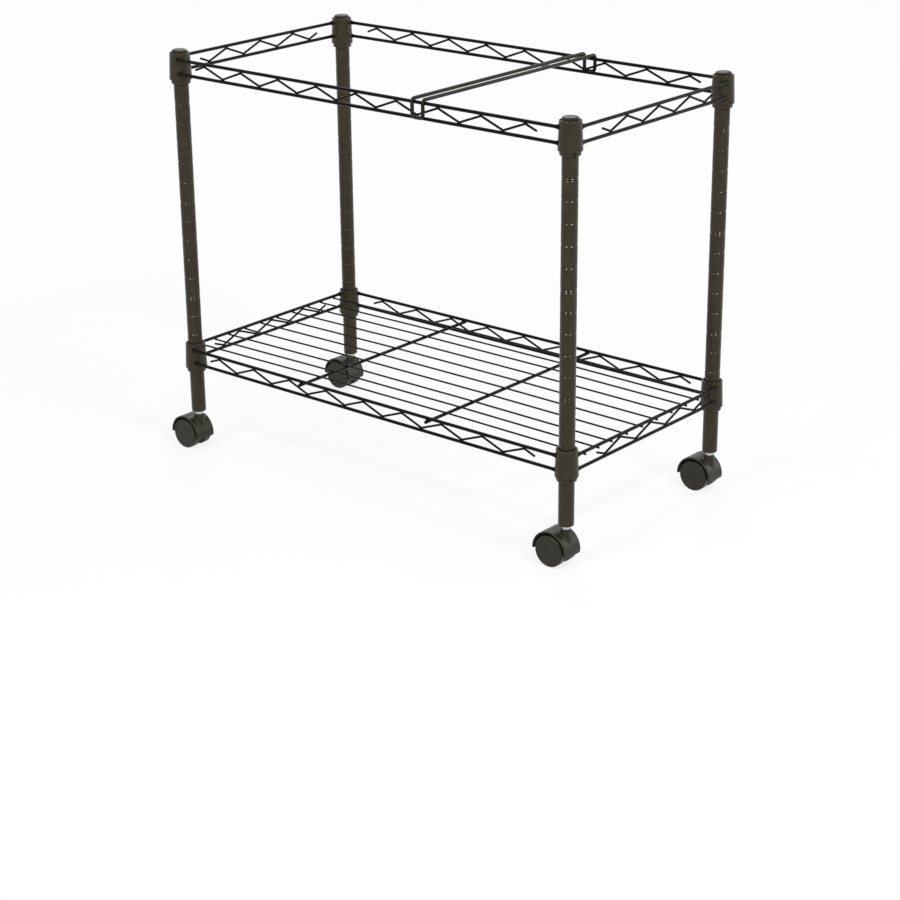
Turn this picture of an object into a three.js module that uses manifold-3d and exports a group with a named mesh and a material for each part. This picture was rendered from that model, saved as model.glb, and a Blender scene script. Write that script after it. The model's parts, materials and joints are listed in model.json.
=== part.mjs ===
// Mobile file cart: a wire file frame and a wire shelf, clipped to four grooved posts on casters.
// Millimetres, +Z up, X along the long side, the front at -Y. The origin is on the floor, in the middle.
import * as THREE from "three";
import { mergeVertices } from "three/addons/utils/BufferGeometryUtils.js";
import Module from "manifold-3d";

const wasm = await Module();
wasm.setup();

// Clearances and facet counts
const SEAT_GAP = 0.3; // left between pieces that touch
const RUNNING_GAP = 0.45; // left round a pin that turns
const WELD_SINK = 0.35; // how far welded wires sink into each other
const TUBE_SIDES = 9;
const ROD_SIDES = 8;
const WIRE_SIDES = 5;
const DECK_WIRE_SIDES = 6;
const DIVIDER_SIDES = 6;
const WHEEL_SIDES = 16;
const HOOD_STEPS = 7;
const BEND_STEPS = 2;
const CORNER_STEPS = 2;

// Posts: round tube with locking grooves, every fifth one doubled as a height mark
const POST_SPACING_X = 610;
const POST_SPACING_Y = 298;
const POST_LENGTH = 474;
const POST_DIAMETER = 19;
const POST_WALL = 1;
const LOWEST_GROOVE_RISE = 82.5; // from the post's foot to its lowest groove
const POST_TOP_MARGIN = 10; // least distance from the highest groove to the post's end
const GROOVE_PITCH = 25.4;
const GROOVE_WIDTH = 1.6;
const GROOVE_DEPTH = 0.7;
const MARK_EVERY = 5;
const FIRST_MARK = 3; // grooves above the lowest one
const MARK_DROP = 2.7; // from a marked groove down to its twin

// Post caps
const CAP_DIAMETER = 19.6;
const CAP_FLANGE = 2;
const CAP_CROWN = 3.4;
const CAP_CROWN_SPREAD = 0.7; // where the crown's slope breaks, as a share of the rim's radius
const CAP_CROWN_SHARE = 0.8; // and of the crown's height
const CAP_PLUG = 11;

// Tapered corner collars and the split sleeves inside them
const COLLAR_HEIGHT = 34;
const COLLAR_WALL = 1.8;
const COLLAR_DROP = 21.7; // from the locking groove to the collar's lower rim
const SLEEVE_TOP_WALL = 0.9; // at the collar's upper rim
const SLEEVE_FOOT_WALL = 2.4; // at the collar's lower rim
const SLEEVE_RECESS = 1.6; // from the collar's upper rim down to the sleeve
const SLEEVE_SKIRT = 5; // how far the sleeve shows below the collar
const SLEEVE_SLIT = 1.6;
const SLEEVE_SLIT_TURN = 60; // degrees from the front or back towards the nearer end
const RIB_HALF_WIDTH = 0.7;
const RIB_DEPTH = 0.55;

// Trusses: two rods with one bent wire between them
const ROD_DIAMETER = 4.2;
const ROD_SPACING = 17.7;
const ROD_OUTSET = 10; // rods stand outside the line of the post centres
const UPPER_ROD_RISE = 4.7; // above the locking groove
const ZIGZAG_DIAMETER = 2.8;
const ZIGZAG_PITCH = 62.75;
const ZIGZAG_END_CLEARANCE = 45; // least distance from a post to the first bend
const SIDE_ZIGZAG_SHIFT = 3; // the bent wires of the short sides sit towards the back

// Shelf deck: thin wires along the cart over two crossbars
const DECK_WIRE_DIAMETER = 2.3;
const DECK_BAYS = 5; // wide bays between the inner wires, an odd count
const DECK_EDGE_WIRES = 2; // closer wires along each long edge
const DECK_EDGE_PITCH = 25.8;
const DECK_EDGE_CLEARANCE = 6.4; // from the collars to the outermost wire
const CROSSBAR_DIAMETER = 4.2;
const CROSSBAR_BEND = 1; // lower bends of the long bent wire that each crossbar leaves on the inner side
const CROSSBAR_BEND_OFFSET = 10; // from the next lower bend, outwards
const CROSSBAR_CUT_END = 2.6; // what a crossbar shows past the rods it is welded under
const WIRE_CUT_END = 1; // and what a deck wire shows

// File divider: one closed wire loop hooked over the long sides of the file frame
const DIVIDER_DIAMETER = 5;
const DIVIDER_WIDTH = 16;
const DIVIDER_POSITION = 99;
const DIVIDER_FOOT_RADIUS = 5;
const DIVIDER_FOOT_DROP = 1; // from the lower rod's centre to the loop's foot

// Casters: grip stem in a socket, hood, axle and two wheels, trailing towards -X
const WHEEL_DIAMETER = 40;
const WHEEL_WIDTH = 10.6;
const WHEEL_BEVEL = 1.6;
const WHEEL_DISH = 0.7;
const WHEEL_BORE_DEPTH = 7.6;
const WHEEL_SIDE_GAP = 0.8; // from the hood's web to a wheel
const AXLE_DIAMETER = 6;
const TRAIL = 14;
const HOOD_CLEARANCE = 2;
const HOOD_WALL = 2.4;
const HOOD_WIDTH = 30.4;
const HOOD_WEB = 9;
const HOOD_REAR_DROP = 1.8; // from the axle's centre down to the hood's rear edge
const HOOD_FRONT_DROP = 4.8; // and to its front edge
const HOOD_CORNER_RADIUS = 2.5; // of the band's four lower corners
const WEB_DEPTH = 5.5; // the web below the axle's centre
const WEB_FOOT_LENGTH = 12;
const BOSS_RISE = 3.6; // the boss's top above the band
const BOSS_TOP_DIAMETER = 12.6;
const BOSS_FOOT_DIAMETER = 15.4; // of its taper, down at the axle's height
const STEM_DIAMETER = 7.9;
const STEM_PIN_DIAMETER = 5.6;
const STEM_PIN_SINK = 1; // the pin's end below the band's inside
const STEM_RISE = 30;
const STEM_RING_DIAMETER = 11.4;
const STEM_RING_THICKNESS = 4.4;
const SOCKET_LENGTH = 36;

// Levels and radii that follow from the sizes above
const flat = (diameter, sides) => (diameter / 2) * Math.cos(Math.PI / sides);
const rodFlat = flat(ROD_DIAMETER, ROD_SIDES);
const crossbarFlat = flat(CROSSBAR_DIAMETER, ROD_SIDES);
const dividerFlat = flat(DIVIDER_DIAMETER, DIVIDER_SIDES);
const axleHeight = flat(WHEEL_DIAMETER, WHEEL_SIDES);
const hoodInner = WHEEL_DIAMETER / 2 + HOOD_CLEARANCE;
const hoodOuter = hoodInner + HOOD_WALL;
const bossTop = axleHeight + hoodOuter + BOSS_RISE;
const pinFoot = axleHeight + Math.sqrt(hoodInner ** 2 - TRAIL ** 2) - STEM_PIN_SINK;
const stemRingFoot = bossTop + SEAT_GAP;
const postFoot = stemRingFoot + STEM_RING_THICKNESS + SEAT_GAP;
const shelfLock = postFoot + LOWEST_GROOVE_RISE;
const groovePitches = Math.floor((POST_LENGTH - LOWEST_GROOVE_RISE - POST_TOP_MARGIN) / GROOVE_PITCH);
const topLock = shelfLock + groovePitches * GROOVE_PITCH;
const postTop = postFoot + POST_LENGTH;
const postRadius = POST_DIAMETER / 2;
const postBore = postRadius - POST_WALL;
const sleeveBore = postRadius + SEAT_GAP;
const collarFitting = SEAT_GAP + COLLAR_WALL; // from the sleeve's outside to the collar's
const collarTopRadius = sleeveBore + SLEEVE_TOP_WALL + collarFitting;
const collarFootRadius = sleeveBore + SLEEVE_FOOT_WALL + collarFitting;
const stemRadius = STEM_DIAMETER / 2;
const wheelInnerFace = HOOD_WEB / 2 + WHEEL_SIDE_GAP;
const frontLine = POST_SPACING_Y / 2 + ROD_OUTSET;
const sideLine = POST_SPACING_X / 2 + ROD_OUTSET;

// Materials
const coatedSteel = new THREE.MeshStandardMaterial({ color: 0x2b2620, roughness: 0.45, metalness: 0.35 });
const blackPlastic = new THREE.MeshStandardMaterial({ color: 0x1d1c1a, roughness: 0.55, metalness: 0 });
const casterPlastic = new THREE.MeshStandardMaterial({ color: 0x262a27, roughness: 0.6, metalness: 0 });
const brightSteel = new THREE.MeshStandardMaterial({ color: 0xc9cbcc, roughness: 0.25, metalness: 1 });

// A closed geometry as a solid that can be joined to others and cut.
function solid(geometry) {
  geometry.deleteAttribute("normal");
  geometry.deleteAttribute("uv");
  const merged = mergeVertices(geometry, 1e-4);
  const corners = merged.index.array;
  const triangles = [];
  for (let i = 0; i < corners.length; i += 3) {
    const [a, b, c] = corners.subarray(i, i + 3);
    if (a !== b && b !== c && c !== a) triangles.push(a, b, c);
  }
  return new wasm.Manifold(
    new wasm.Mesh({
      numProp: 3,
      vertProperties: merged.attributes.position.array,
      triVerts: new Uint32Array(triangles),
    }),
  );
}

function geometryOf(piece) {
  const mesh = piece.getMesh();
  return new THREE.BufferGeometry()
    .setAttribute("position", new THREE.BufferAttribute(mesh.vertProperties, 3))
    .setIndex(new THREE.BufferAttribute(mesh.triVerts, 1));
}

// A profile of [radius, height] points, listed anticlockwise, turned round the Z axis.
function turned(profile, sides, close) {
  const points = profile.map(([radius, height]) => new THREE.Vector2(radius, height));
  if (close) points.push(points[0].clone());
  const lathe = new THREE.LatheGeometry(points, sides, Math.PI / sides);
  return lathe.rotateX(Math.PI / 2);
}

// A profile in the X-Z plane, as thick as width along Y and centred on it.
function plate(shape, width, curveSegments) {
  const body = new THREE.ExtrudeGeometry(shape, { depth: width, bevelEnabled: false, curveSegments });
  return body.translate(0, 0, -width / 2).rotateX(Math.PI / 2);
}

// A straight rod along X, with flat facets up, down and to both sides.
function rodAlongX(diameter, length, sides) {
  const radius = diameter / 2;
  const rod = new THREE.CylinderGeometry(radius, radius, length, sides, 1, false, Math.PI / sides);
  return rod.rotateZ(Math.PI / 2);
}

// A straight pin or hole along Y.
function pinAlongY(radius, length) {
  return new THREE.CylinderGeometry(radius, radius, length, TUBE_SIDES, 1, false, Math.PI / TUBE_SIDES);
}

// A route through given points, with one section of the wire at each of them.
class BentRoute extends THREE.Curve {
  constructor(points) {
    super();
    this.points = points;
  }
  getPoint(t) {
    const last = this.points.length - 1;
    const place = t * last;
    const from = Math.min(Math.floor(place), last - 1);
    return this.points[from].clone().lerp(this.points[from + 1], place - from);
  }
  getPointAt(t) {
    return this.getPoint(t);
  }
  getTangent(t) {
    const last = this.points.length - 1;
    const at = Math.round(t * last);
    const here = this.points[at];
    const sum = new THREE.Vector3();
    if (at > 0) sum.add(here.clone().sub(this.points[at - 1]).normalize());
    if (at < last) sum.add(this.points[at + 1].clone().sub(here).normalize());
    return sum.normalize();
  }
  getTangentAt(t) {
    return this.getTangent(t);
  }
  getSpacedPoints() {
    return this.points.map((point) => point.clone());
  }
}

// A wire of the given diameter bent along a list of points.
function bentWire(points, diameter, sides) {
  const section = new THREE.Shape();
  for (let i = 0; i < sides; i++) {
    const angle = ((2 * i + 1) * Math.PI) / sides;
    const x = (diameter / 2) * Math.cos(angle);
    const y = (diameter / 2) * Math.sin(angle);
    if (i === 0) section.moveTo(x, y);
    else section.lineTo(x, y);
  }
  section.closePath();
  return new THREE.ExtrudeGeometry(section, {
    steps: points.length - 1,
    curveSegments: 1,
    bevelEnabled: false,
    extrudePath: new BentRoute(points),
  });
}

// Posts

function grooveHeights() {
  const heights = [];
  for (let i = 0; i <= groovePitches; i++) {
    const height = shelfLock + i * GROOVE_PITCH;
    if (i % MARK_EVERY === FIRST_MARK) heights.push(height - MARK_DROP);
    heights.push(height);
  }
  return heights;
}

function post() {
  const outside = [[postRadius, postFoot]];
  for (const height of grooveHeights()) {
    outside.push([postRadius, height - GROOVE_WIDTH / 2]);
    outside.push([postRadius - GROOVE_DEPTH, height]);
    outside.push([postRadius, height + GROOVE_WIDTH / 2]);
  }
  outside.push([postRadius, postTop]);
  return solid(turned([...outside, [postBore, postTop], [postBore, postFoot]], TUBE_SIDES, true));
}

function cap() {
  const rim = CAP_DIAMETER / 2;
  const plug = postBore - SEAT_GAP;
  const seat = postTop + SEAT_GAP;
  const shoulder = seat + CAP_FLANGE;
  return solid(
    turned(
      [
        [0, postTop - CAP_PLUG],
        [plug, postTop - CAP_PLUG],
        [plug, seat],
        [rim, seat],
        [rim, shoulder],
        [rim * CAP_CROWN_SPREAD, shoulder + CAP_CROWN * CAP_CROWN_SHARE],
        [0, shoulder + CAP_CROWN],
      ],
      TUBE_SIDES,
    ),
  );
}

// Collars and sleeves, with the locking groove at Z = 0

const collarFoot = -COLLAR_DROP;
const collarHead = collarFoot + COLLAR_HEIGHT;

// The collar's outer radius at a height, on one straight taper.
function collarRadius(height) {
  return THREE.MathUtils.mapLinear(height, collarFoot, collarHead, collarFootRadius, collarTopRadius);
}

function collar() {
  const profile = [
    [collarFootRadius, collarFoot],
    [collarTopRadius, collarHead],
    [collarTopRadius - COLLAR_WALL, collarHead],
    [collarFootRadius - COLLAR_WALL, collarFoot],
  ];
  return solid(turned(profile, TUBE_SIDES, true));
}

// The space that a welded rod leaves for the collar at its end.
function collarCope() {
  const profile = [
    [0, collarFoot],
    [collarFootRadius + SEAT_GAP, collarFoot],
    [collarTopRadius + SEAT_GAP, collarHead],
    [0, collarHead],
  ];
  return solid(turned(profile, TUBE_SIDES));
}

// The slit's turn is in degrees, from the front towards +X.
function sleeve(slitTurn) {
  const head = collarHead - SLEEVE_RECESS;
  const foot = collarFoot - SLEEVE_SKIRT;
  const skirt = sleeveBore + SLEEVE_FOOT_WALL;
  const ring = solid(
    turned(
      [
        [skirt, foot],
        [skirt, collarFoot],
        [collarRadius(head) - collarFitting, head],
        [sleeveBore, head],
        [sleeveBore, RIB_HALF_WIDTH],
        [sleeveBore - RIB_DEPTH, 0],
        [sleeveBore, -RIB_HALF_WIDTH],
        [sleeveBore, foot],
      ],
      TUBE_SIDES,
      true,
    ),
  );
  const reach = 2 * skirt;
  const cut = new THREE.BoxGeometry(SLEEVE_SLIT, reach, 2 * (head - foot));
  cut.translate(0, -reach / 2, (head + foot) / 2).rotateZ(THREE.MathUtils.degToRad(slitTurn));
  return ring.subtract(solid(cut));
}

// Trusses, along X with the locking groove at Z = 0, the rods at Y = 0 and the posts at Y = ROD_OUTSET

const lowerRodRise = UPPER_ROD_RISE - ROD_SPACING;
const bendInset = rodFlat + ZIGZAG_DIAMETER / 2 - WELD_SINK;
const highBend = UPPER_ROD_RISE - bendInset;
const lowBend = lowerRodRise + bendInset;

// The wire between the rods: bends half a pitch apart over some bays, then half a flight at both ends.
function zigzagPoints(bays, pitch, endsHigh, shift) {
  const points = [];
  const reach = (bays * pitch) / 2;
  const middle = (highBend + lowBend) / 2;
  points.push(new THREE.Vector3(shift - reach - pitch / 4, 0, middle));
  for (let i = 0; i <= 2 * bays; i++) {
    const high = (i % 2 === 0) === endsHigh;
    points.push(new THREE.Vector3(shift - reach + (i * pitch) / 2, 0, high ? highBend : lowBend));
  }
  points.push(new THREE.Vector3(shift + reach + pitch / 4, 0, middle));
  return points;
}

function baysBetween(spacing, pitch) {
  return Math.floor((spacing - 2 * ZIGZAG_END_CLEARANCE) / pitch);
}

// The truss is turned in the cart by so many degrees, and the collars that its rods meet aren't.
function truss(spacing, bends, turn) {
  const upper = solid(rodAlongX(ROD_DIAMETER, spacing, ROD_SIDES).translate(0, 0, UPPER_ROD_RISE));
  const lower = solid(rodAlongX(ROD_DIAMETER, spacing, ROD_SIDES).translate(0, 0, lowerRodRise));
  const zigzag = solid(bentWire(bends, ZIGZAG_DIAMETER, WIRE_SIDES));
  const cope = collarCope().rotate([0, 0, -turn]);
  return upper
    .add(lower)
    .add(zigzag)
    .subtract(cope.translate([-spacing / 2, ROD_OUTSET, 0]))
    .subtract(cope.translate([spacing / 2, ROD_OUTSET, 0]));
}

const longBays = baysBetween(POST_SPACING_X, ZIGZAG_PITCH);

function longTruss(turn) {
  return truss(POST_SPACING_X, zigzagPoints(longBays, ZIGZAG_PITCH, true, 0), turn);
}

// Shelf deck, with the locking groove at Z = 0

const deckHalf = POST_SPACING_Y / 2 - collarFootRadius - DECK_EDGE_CLEARANCE;
const deckInnerHalf = deckHalf - DECK_EDGE_WIRES * DECK_EDGE_PITCH;
const deckPitch = (2 * deckInnerHalf) / DECK_BAYS;

// The upper bends of a short side's bent wire stand midway between deck wires, two deck wires apart.
function shortTruss(shift, turn) {
  const pitch = 2 * deckPitch;
  const bays = 2 * Math.floor((baysBetween(POST_SPACING_Y, pitch) - 1) / 2) + 1;
  return truss(POST_SPACING_Y, zigzagPoints(bays, pitch, false, shift), turn);
}

function deckWirePlaces() {
  const places = [];
  for (let i = 0; i <= DECK_BAYS; i++) places.push(-deckInnerHalf + i * deckPitch);
  for (let i = 1; i <= DECK_EDGE_WIRES; i++) {
    places.push(deckInnerHalf + i * DECK_EDGE_PITCH);
    places.push(-deckInnerHalf - i * DECK_EDGE_PITCH);
  }
  return places;
}

// Each crossbar crosses the long sides just outside a lower bend of their bent wire.
function crossbarPlace() {
  const firstLow = longBays % 2 === 0 ? ZIGZAG_PITCH / 2 : 0;
  return firstLow + CROSSBAR_BEND * ZIGZAG_PITCH + CROSSBAR_BEND_OFFSET;
}

function deck() {
  const underRod = UPPER_ROD_RISE - rodFlat - SEAT_GAP;
  const wireRadius = DECK_WIRE_DIAMETER / 2;
  const endLevel = underRod - wireRadius;
  const crossbarLevel = underRod - crossbarFlat;
  const middleLevel = crossbarLevel + crossbarFlat + wireRadius - WELD_SINK;
  const end = sideLine + ROD_DIAMETER / 2 + WIRE_CUT_END;
  const across = crossbarPlace();
  const route = [
    [-end, endLevel],
    [-across, middleLevel],
    [across, middleLevel],
    [end, endLevel],
  ];
  const barLength = 2 * (frontLine + ROD_DIAMETER / 2 + CROSSBAR_CUT_END);
  const bar = solid(rodAlongX(CROSSBAR_DIAMETER, barLength, ROD_SIDES).rotateZ(Math.PI / 2));
  let welded = bar.translate([-across, 0, crossbarLevel]).add(bar.translate([across, 0, crossbarLevel]));
  for (const y of deckWirePlaces()) {
    const points = route.map(([x, z]) => new THREE.Vector3(x, y, z));
    welded = welded.add(solid(bentWire(points, DECK_WIRE_DIAMETER, DECK_WIRE_SIDES)));
  }
  return welded;
}

// File divider, with the locking groove at Z = 0 and its middle at X = 0

// Points of a quarter turn from one direction to another: the flats between them keep the radius.
function quarterTurn(centre, radius, from, to) {
  const step = Math.PI / 2 / BEND_STEPS;
  const reach = radius / Math.cos(step / 2);
  const points = [];
  for (let i = 0; i < BEND_STEPS; i++) {
    const angle = (i + 0.5) * step;
    const point = centre.clone().addScaledVector(from, reach * Math.cos(angle));
    points.push(point.addScaledVector(to, reach * Math.sin(angle)));
  }
  return points;
}

// One end of the loop: from the middle of one top rod, down over the long side, round the foot and back.
function dividerHook() {
  const up = new THREE.Vector3(0, 0, 1);
  const down = new THREE.Vector3(0, 0, -1);
  const left = new THREE.Vector3(-1, 0, 0);
  const right = new THREE.Vector3(1, 0, 0);
  const outwards = new THREE.Vector3(0, -1, 0);
  const wrap = rodFlat + SEAT_GAP + dividerFlat;
  const half = DIVIDER_WIDTH / 2;
  const footCentre = half - DIVIDER_FOOT_RADIUS;
  const footLevel = lowerRodRise - DIVIDER_FOOT_DROP + DIVIDER_FOOT_RADIUS;
  const overRod = (x) => new THREE.Vector3(x, -frontLine, UPPER_ROD_RISE);
  const atFoot = (x) => new THREE.Vector3(x, -frontLine - wrap, footLevel);
  const start = (x) => new THREE.Vector3(x, DIVIDER_DIAMETER, UPPER_ROD_RISE + wrap);
  const points = [
    start(-half),
    ...quarterTurn(overRod(-half), wrap, up, outwards),
    ...quarterTurn(atFoot(-footCentre), DIVIDER_FOOT_RADIUS, left, down),
    ...quarterTurn(atFoot(footCentre), DIVIDER_FOOT_RADIUS, down, right),
    ...quarterTurn(overRod(half), wrap, outwards, up),
    start(half),
  ];
  return solid(bentWire(points, DIVIDER_DIAMETER, DIVIDER_SIDES));
}

function divider() {
  const hook = dividerHook();
  return hook.add(hook.rotate([0, 0, 180]));
}

// Casters, with the stem on the Z axis and the leading side at +X

function socket() {
  const bore = stemRadius + SEAT_GAP;
  const outside = postBore - SEAT_GAP;
  const head = postFoot + SOCKET_LENGTH;
  const profile = [
    [outside, postFoot],
    [outside, head],
    [bore, head],
    [bore, postFoot],
  ];
  return solid(turned(profile, TUBE_SIDES, true));
}

function stem() {
  const ringHead = stemRingFoot + STEM_RING_THICKNESS;
  const ring = STEM_RING_DIAMETER / 2;
  const pin = STEM_PIN_DIAMETER / 2;
  const tip = postFoot + STEM_RISE;
  const profile = [
    [0, pinFoot],
    [pin, pinFoot],
    [pin, stemRingFoot],
    [ring, stemRingFoot],
    [ring, ringHead],
    [stemRadius, ringHead],
    [stemRadius, tip],
    [0, tip],
  ];
  return solid(turned(profile, TUBE_SIDES));
}

// The hood's band as seen from one end, with round lower corners, reaching from past the axle to that end.
function hoodEnd(drop, direction) {
  const half = HOOD_WIDTH / 2;
  const radius = HOOD_CORNER_RADIUS;
  const low = axleHeight - drop;
  const top = axleHeight + hoodOuter + HOOD_WALL;
  const end = new THREE.Shape();
  end.moveTo(half, top);
  end.lineTo(-half, top);
  end.absarc(-half + radius, low + radius, radius, Math.PI, 1.5 * Math.PI, false);
  end.absarc(half - radius, low + radius, radius, 1.5 * Math.PI, 2 * Math.PI, false);
  end.closePath();
  const depth = 2 * HOOD_WALL + hoodOuter;
  const body = new THREE.ExtrudeGeometry(end, { depth, bevelEnabled: false, curveSegments: CORNER_STEPS });
  body.rotateX(Math.PI / 2).rotateZ(Math.PI / 2);
  return solid(body.translate(-TRAIL - depth / 2 + (direction * hoodOuter) / 2, 0, 0));
}

// The band over the wheels.
function hoodBand() {
  const ring = new THREE.Shape();
  ring.absarc(-TRAIL, axleHeight, hoodOuter, 0, 2 * Math.PI, false);
  const inside = new THREE.Path();
  inside.absarc(-TRAIL, axleHeight, hoodInner, 0, 2 * Math.PI, true);
  ring.holes.push(inside);
  const ends = hoodEnd(HOOD_FRONT_DROP, 1).add(hoodEnd(HOOD_REAR_DROP, -1));
  return solid(plate(ring, 2 * HOOD_WIDTH, 2 * HOOD_STEPS)).intersect(ends);
}

// The web between the wheels, from the band down to just below the axle.
function hoodWeb() {
  const skin = hoodOuter - HOOD_WALL / 2;
  const web = new THREE.Shape();
  web.absarc(-TRAIL, axleHeight, skin, 0, Math.PI, false);
  web.lineTo(-TRAIL - WEB_FOOT_LENGTH / 2, axleHeight - WEB_DEPTH);
  web.lineTo(-TRAIL + WEB_FOOT_LENGTH / 2, axleHeight - WEB_DEPTH);
  web.closePath();
  return solid(plate(web, HOOD_WEB, HOOD_STEPS));
}

// The tapered boss round the stem's pin, which runs down into the band and stays out of the wheels' space.
function hoodBoss() {
  const profile = [
    [0, axleHeight],
    [BOSS_FOOT_DIAMETER / 2, axleHeight],
    [BOSS_TOP_DIAMETER / 2, bossTop],
    [0, bossTop],
  ];
  const inside = new THREE.Shape();
  inside.absarc(-TRAIL, axleHeight, hoodOuter - HOOD_WALL / 3, 0, 2 * Math.PI, false);
  const wheelSpace = solid(plate(inside, HOOD_WIDTH, 2 * HOOD_STEPS));
  return solid(turned(profile, TUBE_SIDES)).subtract(wheelSpace);
}

function hood() {
  const pinDepth = bossTop - pinFoot + SEAT_GAP;
  const stemHole = pinAlongY(STEM_PIN_DIAMETER / 2 + RUNNING_GAP, 2 * pinDepth);
  stemHole.rotateX(Math.PI / 2).translate(0, 0, bossTop);
  const axleHole = pinAlongY(AXLE_DIAMETER / 2 + SEAT_GAP, 2 * HOOD_WEB).translate(-TRAIL, 0, axleHeight);
  return hoodBand().add(hoodWeb()).add(hoodBoss()).subtract(solid(stemHole)).subtract(solid(axleHole));
}

function axle() {
  const length = 2 * (wheelInnerFace + WHEEL_BORE_DEPTH - SEAT_GAP);
  return solid(pinAlongY(AXLE_DIAMETER / 2, length).translate(-TRAIL, 0, axleHeight));
}

// The wheel turns about Y: its plain outer face is at +Y for side 1 and at -Y for side -1.
function wheel(side) {
  const tread = WHEEL_DIAMETER / 2;
  const bore = AXLE_DIAMETER / 2 + RUNNING_GAP;
  const outerFace = wheelInnerFace + WHEEL_WIDTH;
  const profile = [
    [0, outerFace - WHEEL_DISH],
    [tread - 2 * WHEEL_BEVEL, outerFace - WHEEL_DISH],
    [tread - WHEEL_BEVEL, outerFace],
    [tread, outerFace - WHEEL_BEVEL],
    [tread, wheelInnerFace],
    [bore, wheelInnerFace],
    [bore, wheelInnerFace + WHEEL_BORE_DEPTH],
    [0, wheelInnerFace + WHEEL_BORE_DEPTH],
  ];
  const upright = turned(profile.reverse(), WHEEL_SIDES).rotateX((-side * Math.PI) / 2);
  return solid(upright.translate(-TRAIL, 0, axleHeight));
}

// Assembly

const cart = new THREE.Group();

function place(name, piece, material, x, y, z = 0, turn = 0) {
  const mesh = new THREE.Mesh(geometryOf(piece), material);
  mesh.name = name;
  mesh.position.set(x, y, z);
  mesh.rotation.z = THREE.MathUtils.degToRad(turn);
  cart.add(mesh);
}

const corners = [
  { name: "front_left", x: -POST_SPACING_X / 2, y: -POST_SPACING_Y / 2, slit: -SLEEVE_SLIT_TURN },
  { name: "front_right", x: POST_SPACING_X / 2, y: -POST_SPACING_Y / 2, slit: SLEEVE_SLIT_TURN },
  { name: "back_left", x: -POST_SPACING_X / 2, y: POST_SPACING_Y / 2, slit: SLEEVE_SLIT_TURN - 180 },
  { name: "back_right", x: POST_SPACING_X / 2, y: POST_SPACING_Y / 2, slit: 180 - SLEEVE_SLIT_TURN },
];
const levels = [
  { name: "top", lock: topLock },
  { name: "shelf", lock: shelfLock },
];

for (const { name, x, y, slit } of corners) {
  place("post_" + name, post(), coatedSteel, x, y);
  place("cap_" + name, cap(), blackPlastic, x, y);
  for (const level of levels) {
    place(level.name + "_collar_" + name, collar(), coatedSteel, x, y, level.lock);
    place(level.name + "_sleeve_" + name, sleeve(slit), blackPlastic, x, y, level.lock);
  }
  place("stem_socket_" + name, socket(), blackPlastic, x, y);
  place("stem_" + name, stem(), brightSteel, x, y);
  place("hood_" + name, hood(), casterPlastic, x, y);
  place("axle_" + name, axle(), brightSteel, x, y);
  place("wheel_" + name + "_a", wheel(-1), casterPlastic, x, y);
  place("wheel_" + name + "_b", wheel(1), casterPlastic, x, y);
}

for (const { name, lock } of levels) {
  place(name + "_truss_front", longTruss(0), coatedSteel, 0, -frontLine, lock);
  place(name + "_truss_back", longTruss(180), coatedSteel, 0, frontLine, lock, 180);
  place(name + "_truss_right", shortTruss(SIDE_ZIGZAG_SHIFT, 90), coatedSteel, sideLine, 0, lock, 90);
  place(name + "_truss_left", shortTruss(-SIDE_ZIGZAG_SHIFT, -90), coatedSteel, -sideLine, 0, lock, -90);
}
place("shelf_deck", deck(), coatedSteel, 0, 0, shelfLock);
place("file_divider", divider(), coatedSteel, DIVIDER_POSITION, 0, topLock);

// The origin goes to the footprint's middle, which the trailing casters move off the posts' middle.
const footprint = new THREE.Box3().setFromObject(cart).getCenter(new THREE.Vector3());
cart.position.set(-footprint.x, -footprint.y, 0);

export default cart;
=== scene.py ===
"""Mobile file cart: smooth meshes and finishes for its pieces, with studio light, floor and camera.

The cart's sizes are in millimetres, and a finished mesh is scaled to metres once, when its object is
made. The studio's sizes are in metres.
"""

import json
import logging
import math
from dataclasses import dataclass
from enum import Enum
from functools import cache

import bmesh
import bpy
from bmesh.types import BMEdge, BMesh, BMFace, BMVert
from mathutils import Matrix, Quaternion, Vector


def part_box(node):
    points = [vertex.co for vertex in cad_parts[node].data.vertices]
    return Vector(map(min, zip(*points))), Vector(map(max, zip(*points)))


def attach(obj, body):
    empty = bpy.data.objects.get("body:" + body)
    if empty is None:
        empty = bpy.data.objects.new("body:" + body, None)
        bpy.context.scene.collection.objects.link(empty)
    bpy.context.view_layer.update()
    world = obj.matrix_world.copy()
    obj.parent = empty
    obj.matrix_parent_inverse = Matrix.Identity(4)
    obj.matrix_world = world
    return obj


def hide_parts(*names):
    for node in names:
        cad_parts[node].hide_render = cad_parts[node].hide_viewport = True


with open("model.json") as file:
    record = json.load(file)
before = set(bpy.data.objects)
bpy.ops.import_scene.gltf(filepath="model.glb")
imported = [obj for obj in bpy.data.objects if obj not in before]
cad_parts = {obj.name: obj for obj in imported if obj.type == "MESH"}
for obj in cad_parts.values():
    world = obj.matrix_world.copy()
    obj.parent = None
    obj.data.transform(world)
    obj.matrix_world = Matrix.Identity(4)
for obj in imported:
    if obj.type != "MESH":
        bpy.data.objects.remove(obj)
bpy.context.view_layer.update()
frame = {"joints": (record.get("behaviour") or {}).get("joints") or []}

LOG = logging.getLogger("file_cart")
MM = 0.001
# Corners this close are merged: those of turned shapes, and those where a wire meets its own start
MERGE_GAP = 0.0005
LOOP_GAP = 0.01
# Turns past which shading is split, and past which an edge is a rim to be rounded
SHARP_ANGLE = math.radians(38)
RIM_ANGLE = math.radians(60)
QUARTER = math.pi / 2
ORIGIN = Vector((0, 0, 0))
UP = Vector((0, 0, 1))
DOWN = Vector((0, 0, -1))
ALONG = Vector((1, 0, 0))
ACROSS = Vector((0, 1, 0))
Pair = tuple[float, float]
Triple = tuple[float, float, float]
Part = BMVert | BMEdge | BMFace


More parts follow.
